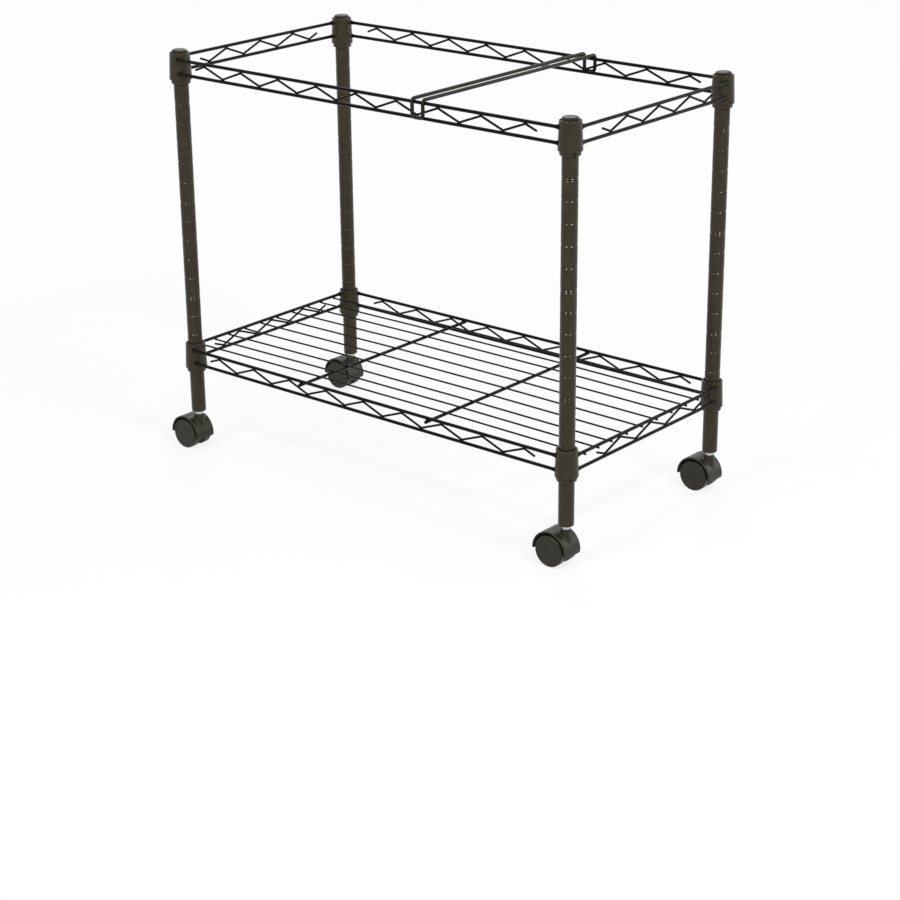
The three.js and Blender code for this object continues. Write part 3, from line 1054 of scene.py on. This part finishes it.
@dataclass
class Deck:
    """Thin wires along the shelf, welded over two crossbars and under the side rods.

    It is made with the locking groove at Z = 0 and the shelf's middle on the Z axis.
    """

    workshop: Workshop
    middle: Vector
    side_line: float
    front_line: float
    wire: float = 1.15
    wire_sides: int = 14
    wire_rounding: float = 0.35
    wire_short: float = 0.2
    inner_wires: int = 6
    edge_wires: int = 2
    edge_pitch: float = 25.8
    middle_level: float = 3.26
    end_level: float = 1.31
    set_radius: float = 60.0
    set_steps: int = 2
    crossbar: float = 2.1
    crossbar_rounding: float = 0.5
    crossbar_past: float = 2.6
    crossbar_place: float = 104.125
    crossbar_level: float = 0.52
    crossbar_weld: Triple = (2.7, 2.7, 0.8)
    wire_weld: Triple = (1.7, 1.7, 0.7)
    end_weld: Triple = (1.8, 1.6, 0.7)

    def places(self) -> list[float]:
        """Lists the wires' places across the shelf.

        Returns:
            Their Y, from the front to the back for the inner wires, and then in pairs outwards.
        """
        half = (self.inner_wires - 1) / 2
        places = [(index - half) * WIRES.deck_pitch for index in range(self.inner_wires)]
        outer = half * WIRES.deck_pitch
        for index in range(1, self.edge_wires + 1):
            places += [outer + index * self.edge_pitch, -outer - index * self.edge_pitch]
        return places

    def add_crossbar(self, shape: BMesh, x: float) -> None:
        """Adds a crossbar with its welds under the long sides.

        Args:
            shape: the mesh that takes it.
            x: its place along the cart.
        """
        end = self.front_line + WIRES.rod + self.crossbar_past
        start = Vector((x, -end, self.crossbar_level))
        bar = WireBender(shape, self.crossbar, start, ACROSS, WIRES.rod_sides)
        bar.straight(2 * end)
        bar.round_ends(self.crossbar_rounding)
        for side in (-1, 1):
            over = Vector((x, side * self.front_line, self.crossbar_level + self.crossbar))
            weld_bead(shape, over, self.crossbar_weld)

    def add_wire(self, shape: BMesh, y: float) -> None:
        """Adds one deck wire, set over the crossbars, with its welds.

        Args:
            shape: the mesh that takes it.
            y: its place across the cart.
        """
        end = self.side_line + WIRES.rod - self.wire_short
        outer = end - self.crossbar_place
        drop = self.middle_level - self.end_level
        slope = math.atan2(drop, outer)
        tangent = self.set_radius * math.tan(slope / 2)
        flank = math.hypot(outer, drop) - tangent
        heading = Vector((math.cos(slope), 0, math.sin(slope)))
        wire = WireBender(shape, self.wire, Vector((-end, y, self.end_level)), heading, self.wire_sides)
        wire.straight(flank)
        wire.bend(DOWN - heading * (DOWN @ heading), self.set_radius, slope, self.set_steps)
        wire.straight(2 * self.crossbar_place - 2 * tangent)
        wire.bend(DOWN, self.set_radius, slope, self.set_steps)
        wire.straight(flank)
        wire.round_ends(self.wire_rounding)
        for side in (-1, 1):
            over = Vector((side * self.crossbar_place, y, self.crossbar_level + self.crossbar))
            weld_bead(shape, over, self.wire_weld)
            under = Vector((side * self.side_line, y, WIRES.upper_rise - WIRES.rod))
            weld_bead(shape, under, self.end_weld)

    def build(self) -> None:
        """Makes the deck in its place."""
        shape = bmesh.new()
        for side in (-1, 1):
            self.add_crossbar(shape, side * self.crossbar_place)
        for y in self.places():
            self.add_wire(shape, y)
        place_shape(shape, self.middle)
        self.workshop.dress(shape, "shelf_deck", "frame", Look.WIRE_COAT)


# File divider


@dataclass
class Divider:
    """Closed wire loop that hooks over the front and back rods and slides along them."""

    workshop: Workshop
    lock: float
    front_line: float
    wire: float = 2.25
    sides: int = 20
    half_width: float = 8.0
    wrap: float = 4.405
    foot_radius: float = 5.0
    foot_rise: float = 1.0
    bend_steps: int = 8

    def build(self) -> None:
        """Makes the divider in its place."""
        low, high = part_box("file_divider")
        middle = (low.x + high.x) / 2 / MM
        top = self.lock + WIRES.upper_rise + self.wrap
        foot = self.lock + WIRES.upper_rise - WIRES.rod_spacing + self.foot_rise
        leg = top - self.wrap - foot - self.foot_radius
        shape = bmesh.new()
        start = Vector((middle - self.half_width, 0, top))
        wire = WireBender(shape, self.wire, start, -ACROSS, self.sides)
        for side in (-1, 1):
            wire.straight(self.front_line)
            wire.bend(DOWN, self.wrap, QUARTER, self.bend_steps)
            wire.straight(leg)
            wire.bend(-side * ALONG, self.foot_radius, QUARTER, self.bend_steps)
            wire.straight(2 * (self.half_width - self.foot_radius))
            wire.bend(UP, self.foot_radius, QUARTER, self.bend_steps)
            wire.straight(leg)
            wire.bend(-side * ACROSS, self.wrap, QUARTER, self.bend_steps)
            wire.straight(self.front_line)
        wire.close_loop()
        self.workshop.dress(shape, "file_divider", "divider", Look.DIVIDER_COAT)


# Casters


@dataclass
class Caster:
    """Hooded twin-wheel caster with its socket and stem. It is made with the stem on the Z axis."""

    workshop: Workshop
    corner: Corner
    trail: float = 14.0
    gap: float = 0.3
    hood_outer: float = 24.4
    hood_wall: float = 2.4
    hood_width: float = 30.4
    hood_strips: int = 44
    front_drop: float = 4.8
    rear_drop: float = 1.8
    corner_radius: float = 2.5
    corner_steps: int = 6
    hood_rounding: float = 1.1
    hood_steps: int = 3
    web_width: float = 9.0
    web_depth: float = 5.5
    web_foot: float = 12.0
    web_sides: int = 72
    web_rounding: float = 0.6
    web_steps: int = 2
    boss_top: float = 6.3
    boss_foot: float = 7.7
    boss_rim: float = 1.6
    boss_rounding: float = 0.9
    boss_fillet: float = 1.2
    fillet_steps: int = 5
    boss_bore: float = 3.25
    boss_bore_depth: float = 5.4
    boss_bore_rounding: float = 0.4
    wheel_width: float = 10.6
    wheel_gap: float = 0.8
    wheel_dish: float = 0.6
    dish_rounding: float = 0.4
    wheel_rim: float = 0.7
    wheel_edge: float = 2.0
    wheel_rounding: float = 0.3
    wheel_bore: float = 3.45
    wheel_bore_depth: float = 7.6
    wheel_segments: int = 80
    wheel_steps: int = 5
    axle_radius: float = 3.0
    axle_rounding: float = 0.5
    axle_segments: int = 32
    ring_radius: float = 5.7
    ring_rounding: float = 0.6
    stem_radius: float = 3.95
    tip_rounding: float = 1.2
    pin_radius: float = 2.8
    pin_rounding: float = 0.5
    stem_segments: int = 48
    socket_radius: float = 8.2
    socket_lead_rounding: float = 0.6
    socket_foot_rounding: float = 0.3
    socket_bore_rounding: float = 0.4

    @property
    def axle(self) -> Vector:
        """The middle of the axle."""
        return Vector((-self.trail, 0, self.corner.axle))

    @property
    def hood_top(self) -> float:
        """The level of the boss's top."""
        return reach("hood_" + self.corner.name)[1]

    @property
    def body(self) -> str:
        """The body that swivels with the hood."""
        return "caster_" + self.corner.name

    def add_band(self, shape: BMesh) -> None:
        """Adds the band over the wheels: a plate with round corners, wrapped round the axle.

        Args:
            shape: the mesh that takes it.
        """
        outer = self.hood_outer
        front = -math.asin(self.front_drop / outer) * outer
        rear = (math.pi + math.asin(self.rear_drop / outer)) * outer
        half = self.hood_width / 2
        outline = ((front, -half), (rear, -half), (rear, half), (front, half))
        corners = [shape.verts.new((along, across, 0)) for along, across in outline]
        shape.faces.new(corners)
        round_off(shape, corners, Rounded.CORNERS, self.corner_radius, self.corner_steps)
        clear = self.corner_radius + self.hood_rounding
        run = rear - front - 2 * clear
        for strip in range(self.hood_strips + 1):
            cut = front + clear + run * strip / self.hood_strips
            cut_across(shape, cut * ALONG, ALONG, trim=False)
        for corner in shape.verts:
            angle = corner.co.x / outer
            wrapped = Vector((outer * math.cos(angle), corner.co.y, outer * math.sin(angle)))
            corner.co = self.axle + wrapped
        bmesh.ops.recalc_face_normals(shape, faces=shape.faces[:])
        strip_face = shape.faces[:][0]
        if strip_face.normal @ (strip_face.calc_center_median() - self.axle) < 0:
            bmesh.ops.reverse_faces(shape, faces=shape.faces[:])
        bmesh.ops.solidify(shape, geom=shape.faces[:], thickness=self.hood_wall)
        round_off(shape, sharp_rims(shape), Rounded.EDGES, self.hood_rounding, self.hood_steps)

    def add_web(self, shape: BMesh) -> None:
        """Adds the web between the wheels: a disc, cut off below the axle and extruded.

        Args:
            shape: the mesh that takes it.
        """
        web = bmesh.new()
        skin = self.hood_outer - self.hood_wall / 2
        bmesh.ops.create_circle(web, cap_ends=True, segments=self.web_sides, radius=skin)
        slope = math.atan2(self.web_depth, skin - self.web_foot / 2)
        cut_across(web, -self.web_depth * ACROSS, -ACROSS, trim=True)
        for side in (-1, 1):
            outwards = Vector((side * math.sin(slope), -math.cos(slope), 0))
            cut_across(web, side * skin * ALONG, outwards, trim=True)
        made = bmesh.ops.extrude_face_region(web, geom=whole(web))["geom"]
        bmesh.ops.translate(web, vec=self.web_width * UP, verts=corners_in(made))
        bmesh.ops.recalc_face_normals(web, faces=web.faces[:])
        round_off(web, sharp_rims(web), Rounded.EDGES, self.web_rounding, self.web_steps)
        bmesh.ops.translate(web, vec=self.web_width / 2 * DOWN, verts=web.verts[:])
        place_shape(web, self.axle, QUARTER, ALONG)
        add_mesh(shape, web)

    def band_level(self, x: float, lift: float) -> float:
        """Gives a level over the band.

        Args:
            x: the place along the caster.
            lift: the distance from the band's outside.

        Returns:
            The level there.
        """
        return self.corner.axle + math.sqrt((self.hood_outer + lift) ** 2 - (x + self.trail) ** 2)

    def boss_radius(self, level: float) -> float:
        """Gives the boss's radius at a level, on its straight taper."""
        share = (self.hood_top - level) / (self.hood_top - self.corner.axle)
        return self.boss_top + (self.boss_foot - self.boss_top) * share

    def boss_stations(self) -> list[Pair]:
        """Lists the rings of the boss's fillet, and of its foot inside the band.

        Returns:
            How far each ring spreads from the taper, and how far it stands off the band.
        """
        fillet = self.boss_fillet
        stations = []
        for step in range(self.fillet_steps + 1):
            angle = QUARTER * step / self.fillet_steps
            stations.append((fillet * (1 - math.cos(angle)), fillet * (1 - math.sin(angle))))
        stations.append((fillet, -self.hood_wall / 3))
        return stations

    def add_boss(self, shape: BMesh) -> None:
        """Adds the tapered boss, which runs into the band with a fillet all round.

        Args:
            shape: the mesh that takes it.
        """
        top = self.hood_top
        rim = top - self.boss_rim
        profile = (
            Turn(0, top - self.boss_bore_depth),
            Turn(self.boss_bore, top - self.boss_bore_depth),
            Turn(self.boss_bore, top, self.boss_bore_rounding),
            Turn(self.boss_top, top, self.boss_rounding),
            Turn(self.boss_radius(rim), rim),
        )
        boss = Lathe(profile).turned()
        ring = [edge for edge in boss.edges if edge.is_boundary]
        for spread, lift in self.boss_stations():
            made = bmesh.ops.extrude_edge_only(boss, edges=ring)["geom"]
            ring = [item for item in made if isinstance(item, BMEdge) and item.is_boundary]
            for corner in corners_in(made):
                outwards = Vector((corner.co.x, corner.co.y, 0)).normalized()
                guess = outwards * self.boss_radius(self.corner.axle + self.hood_outer)
                corner.co = outwards * (self.boss_radius(self.band_level(guess.x, lift)) + spread)
                corner.co.z = self.band_level(corner.co.x, lift)
        self.close_foot(boss, ring)
        add_mesh(shape, boss)

    @staticmethod
    def close_foot(boss: BMesh, ring: list[BMEdge]) -> None:
        """Closes the boss's foot inside the band, along lines across it.

        Args:
            boss: the boss's mesh, open at its foot.
            ring: the foot's edges.
        """
        foot = bmesh.ops.contextual_create(boss, geom=ring)["faces"][0]
        ordered = sorted(foot.verts, key=lambda corner: corner.co.x)
        left = [corner for corner in ordered if corner.co.y < -MERGE_GAP]
        right = [corner for corner in ordered if corner.co.y > MERGE_GAP]
        for first, second in zip(left, right):
            bmesh.ops.connect_verts(boss, verts=[first, second])

    def build_hood(self) -> None:
        """Makes the hood: band, web and boss."""
        shape = bmesh.new()
        self.add_band(shape)
        self.add_web(shape)
        self.add_boss(shape)
        place_shape(shape, self.corner.place)
        self.workshop.dress(shape, "hood_" + self.corner.name, self.body, Look.GRAINED_PLASTIC)

    def build_wheel(self, side: WheelSide) -> None:
        """Makes one wheel: a plain disc with a thin rounded rim.

        Args:
            side: which of the two.
        """
        tread = self.corner.axle
        inner = self.web_width / 2 + self.wheel_gap
        outer = inner + self.wheel_width
        flat = tread - self.wheel_edge - self.wheel_rim
        profile = (
            Turn(0, outer - self.wheel_dish),
            Turn(flat - self.wheel_dish, outer - self.wheel_dish, self.dish_rounding),
            Turn(flat, outer, self.wheel_rounding),
            Turn(tread, outer, self.wheel_edge),
            Turn(tread, inner, self.wheel_edge / 2),
            Turn(self.wheel_bore, inner, self.wheel_rounding),
            Turn(self.wheel_bore, inner + self.wheel_bore_depth),
            Turn(0, inner + self.wheel_bore_depth),
        )
        shape = Lathe(profile, self.wheel_segments, self.wheel_steps).turned()
        place_shape(shape, self.axle + self.corner.place, -side.value * QUARTER, ALONG)
        name = f"wheel_{self.corner.name}_{side.name.lower()}"
        self.workshop.dress(shape, name, name, Look.GRAINED_PLASTIC)

    def build_axle(self) -> None:
        """Makes the axle that carries both wheels."""
        half = self.web_width / 2 + self.wheel_gap + self.wheel_bore_depth - self.gap
        profile = (
            Turn(0, -half),
            Turn(self.axle_radius, -half, self.axle_rounding),
            Turn(self.axle_radius, half, self.axle_rounding),
            Turn(0, half),
        )
        shape = Lathe(profile, self.axle_segments).turned()
        place_shape(shape, self.axle + self.corner.place, QUARTER, ALONG)
        self.workshop.dress(shape, "axle_" + self.corner.name, self.body, Look.BRIGHT_PLATE)

    def build_stem(self) -> None:
        """Makes the plated stem with its ring and pin."""
        node = "stem_" + self.corner.name
        tip = reach(node)[1]
        pin_foot = self.hood_top - self.boss_bore_depth + self.gap
        ring_foot = self.hood_top + self.gap
        ring_head = reach("post_" + self.corner.name)[0] - self.gap
        profile = (
            Turn(0, pin_foot),
            Turn(self.pin_radius, pin_foot, self.pin_rounding),
            Turn(self.pin_radius, ring_foot),
            Turn(self.ring_radius, ring_foot, self.ring_rounding),
            Turn(self.ring_radius, ring_head, self.ring_rounding),
            Turn(self.stem_radius, ring_head),
            Turn(self.stem_radius, tip, self.tip_rounding),
            Turn(0, tip),
        )
        shape = Lathe(profile, self.stem_segments).turned()
        place_shape(shape, self.corner.place)
        self.workshop.dress(shape, node, "frame", Look.BRIGHT_PLATE)

    def build_socket(self) -> None:
        """Makes the plastic socket in the post's foot."""
        node = "stem_socket_" + self.corner.name
        foot, head = reach(node)
        bore = self.stem_radius + self.gap
        profile = (
            Turn(bore, foot, self.socket_lead_rounding),
            Turn(self.socket_radius, foot, self.socket_foot_rounding),
            Turn(self.socket_radius, head, self.socket_lead_rounding),
            Turn(bore, head, self.socket_bore_rounding),
        )
        shape = Lathe(profile, self.stem_segments, closed=True).turned()
        place_shape(shape, self.corner.place)
        self.workshop.dress(shape, node, "frame", Look.SATIN_PLASTIC)


# Studio


@dataclass(frozen=True)
class Softbox:
    """One rectangular lamp: its place, what it faces, its width and height in metres and its power."""

    name: str
    place: Triple
    target: Triple
    width: float
    height: float
    watts: float


@dataclass
class Studio:
    """White floor and background, soft lamps, and a camera at the photograph's angle."""

    camera_place: Triple = (1.70618, -1.99955, 1.05761)
    azimuth: float = math.radians(40.20)
    elevation: float = math.radians(21.52)
    roll: float = math.radians(-0.56)
    lens: float = 86.944
    sensor: float = 36.0
    floor_half: float = 30.0
    floor_white: Triple = (0.97, 0.97, 0.97)
    shadow_reach: Pair = (0.5, 1.6)
    floor_glow: Pair = (0.82, 0.97)
    sky_light: float = 0.26
    softboxes: tuple[Softbox, ...] = (
        Softbox("left_box", (0.1, -2.1, 2.5), (0.0, 0.0, 0.3), 0.8, 0.26, 34.0),
        Softbox("right_box", (2.1, -0.45, 2.5), (0.0, 0.0, 0.3), 0.8, 0.26, 44.0),
        Softbox("side_box", (1.67, 1.99, 0.9), (0.0, 0.0, 0.3), 1.0, 1.4, 11.0),
        Softbox("back_box", (-1.1, 1.3, 2.0), (0.0, 0.0, 0.4), 1.4, 1.0, 16.0),
    )

    def build_camera(self) -> None:
        """Makes the camera."""
        cos_up, sin_up = math.cos(self.elevation), math.sin(self.elevation)
        back = Vector((math.sin(self.azimuth) * cos_up, -math.cos(self.azimuth) * cos_up, sin_up))
        right = UP.cross(back).normalized()
        up = back.cross(right)
        facing = Matrix((right, up, back)).transposed() @ Matrix.Rotation(self.roll, 3, "Z")
        lens = bpy.data.cameras.new("photo_camera")
        lens.lens = self.lens
        lens.sensor_width = self.sensor
        camera = bpy.data.objects.new("photo_camera", lens)
        camera.matrix_world = Matrix.Translation(self.camera_place) @ facing.to_4x4()
        bpy.context.scene.collection.objects.link(camera)
        bpy.context.scene.camera = camera

    def build_lamps(self) -> None:
        """Makes the softboxes, which the camera doesn't see."""
        for box in self.softboxes:
            lamp = bpy.data.lights.new(box.name, "AREA")
            lamp.shape = "RECTANGLE"
            lamp.size = box.width
            lamp.size_y = box.height
            lamp.energy = box.watts
            holder = bpy.data.objects.new(box.name, lamp)
            holder.visible_camera = False
            aim = Vector(box.target) - Vector(box.place)
            facing = aim.to_track_quat("-Z", "Y").to_matrix()
            holder.matrix_world = Matrix.Translation(box.place) @ facing.to_4x4()
            bpy.context.scene.collection.objects.link(holder)

    @staticmethod
    def seen_directly(tree: bpy.types.NodeTree) -> bpy.types.NodeSocket:
        """Adds a value that tells what is seen from what only gives light.

        Args:
            tree: the nodes that take it.

        Returns:
            The value: 1 for camera, glossy and transmission rays, and 0 for the light on other surfaces.
        """
        path = tree.nodes.new("ShaderNodeLightPath")
        total = path.outputs["Is Camera Ray"]
        for kind in ("Is Glossy Ray", "Is Transmission Ray"):
            either = tree.nodes.new("ShaderNodeMath")
            either.operation = "MAXIMUM"
            tree.links.new(total, either.inputs[0])
            tree.links.new(path.outputs[kind], either.inputs[1])
            total = either.outputs[0]
        return total

    def build_world(self) -> None:
        """Makes the white background, which lights the cart at a plain level."""
        world = bpy.data.worlds.new("white_studio")
        bpy.context.scene.world = world
        world.use_nodes = True
        tree = world.node_tree
        sky = tree.nodes["Background"]
        strength = tree.nodes.new("ShaderNodeMapRange")
        strength.inputs["To Min"].default_value = self.sky_light
        strength.inputs["To Max"].default_value = 1.0
        tree.links.new(self.seen_directly(tree), strength.inputs["Value"])
        tree.links.new(strength.outputs["Result"], sky.inputs["Strength"])
        sky.inputs["Color"].default_value = (1, 1, 1, 1)

    def floor_glow_share(self, tree: bpy.types.NodeTree) -> bpy.types.NodeSocket:
        """Adds the share of the floor's glow, which grows away from the cart and its shadow.

        Args:
            tree: the nodes that take it.

        Returns:
            The share, which is 0 where the floor only gives light.
        """
        place = tree.nodes.new("ShaderNodeTexCoord")
        away = tree.nodes.new("ShaderNodeVectorMath")
        away.operation = "LENGTH"
        growing = tree.nodes.new("ShaderNodeMapRange")
        growing.interpolation_type = "SMOOTHSTEP"
        limits = zip(("From Min", "From Max", "To Min", "To Max"), (*self.shadow_reach, *self.floor_glow))
        for socket, value in limits:
            growing.inputs[socket].default_value = value
        share = tree.nodes.new("ShaderNodeMath")
        share.operation = "MULTIPLY"
        tree.links.new(place.outputs["Object"], away.inputs[0])
        tree.links.new(away.outputs["Value"], growing.inputs["Value"])
        tree.links.new(self.seen_directly(tree), share.inputs[0])
        tree.links.new(growing.outputs["Result"], share.inputs[1])
        return share.outputs[0]

    def floor_material(self) -> bpy.types.Material:
        """Makes the floor's finish: matt white with a glow.

        Returns:
            The material.
        """
        material = bpy.data.materials.new("white_floor")
        material.use_nodes = True
        tree = material.node_tree
        surface = tree.nodes["Principled BSDF"]
        surface.inputs["Base Color"].default_value = (*self.floor_white, 1)
        surface.inputs["Roughness"].default_value = 1.0
        surface.inputs["Specular IOR Level"].default_value = 0.0
        glow = tree.nodes.new("ShaderNodeEmission")
        both = tree.nodes.new("ShaderNodeMixShader")
        tree.links.new(self.floor_glow_share(tree), both.inputs["Fac"])
        tree.links.new(surface.outputs[0], both.inputs[1])
        tree.links.new(glow.outputs[0], both.inputs[2])
        tree.links.new(both.outputs[0], tree.nodes["Material Output"].inputs["Surface"])
        return material

    def build_floor(self) -> None:
        """Makes the pale floor, which looks white and keeps the cart's shadow."""
        shape = bmesh.new()
        bmesh.ops.create_grid(shape, x_segments=1, y_segments=1, size=self.floor_half)
        mesh = bpy.data.meshes.new("floor")
        shape.to_mesh(mesh)
        shape.free()
        mesh.materials.append(self.floor_material())
        floor = bpy.data.objects.new("floor", mesh)
        bpy.context.scene.collection.objects.link(floor)

    def build(self) -> None:
        """Makes the whole studio."""
        bpy.context.scene.view_settings.view_transform = "Standard"
        self.build_camera()
        self.build_lamps()
        self.build_world()
        self.build_floor()


# The cart


@dataclass
class FileCart:
    """The whole cart, built piece by piece from the frame's corners."""

    workshop: Workshop
    corners: list[Corner]

    def build_level(self, level: Level) -> None:
        """Makes one welded frame: its collars, sleeves and four sides, and the deck or the divider on it.

        Args:
            level: which of the two.
        """
        fits = [CollarFit(self.workshop, corner, level) for corner in self.corners]
        for fit in fits:
            fit.build_collar()
            fit.build_sleeve()
        post_x = [corner.x for corner in self.corners]
        post_y = [corner.y for corner in self.corners]
        middle = sum(post_x) / len(post_x)
        length = max(post_x) - min(post_x)
        width = max(post_y) - min(post_y)
        front_line = width / 2 + WIRES.rod_outset
        side_line = length / 2 + WIRES.rod_outset
        short_pitch = 2 * WIRES.deck_pitch
        shift = WIRES.side_shift
        runs = (
            Run(Side.FRONT, length, WIRES.long_pitch, True, 0.0, middle, -front_line, 0),
            Run(Side.BACK, length, WIRES.long_pitch, True, 0.0, middle, front_line, 180),
            Run(Side.RIGHT, width, short_pitch, False, shift, middle + side_line, 0, 90),
            Run(Side.LEFT, width, short_pitch, False, -shift, middle - side_line, 0, -90),
        )
        # The four collars of a level are alike, so the sides are fitted to the first one.
        for run in runs:
            Truss(self.workshop, fits[0], run).build()
        lock = fits[0].lock
        if level is Level.SHELF:
            Deck(self.workshop, Vector((middle, 0, lock)), side_line, front_line).build()
        else:
            Divider(self.workshop, lock, front_line).build()

    def build(self) -> None:
        """Makes every piece of the cart."""
        for corner in self.corners:
            post = Post(self.workshop, corner)
            post.build_tube()
            post.build_cap()
            caster = Caster(self.workshop, corner)
            caster.build_socket()
            caster.build_stem()
            caster.build_hood()
            caster.build_axle()
            for side in WheelSide:
                caster.build_wheel(side)
        for level in Level:
            self.build_level(level)


def main() -> None:
    """Builds the studio and the cart."""
    logging.basicConfig(level=logging.INFO, format="%(name)s: %(message)s")
    Studio().build()
    FileCart(Workshop(), Corner.all()).build()


if __name__ == "__main__":
    main()
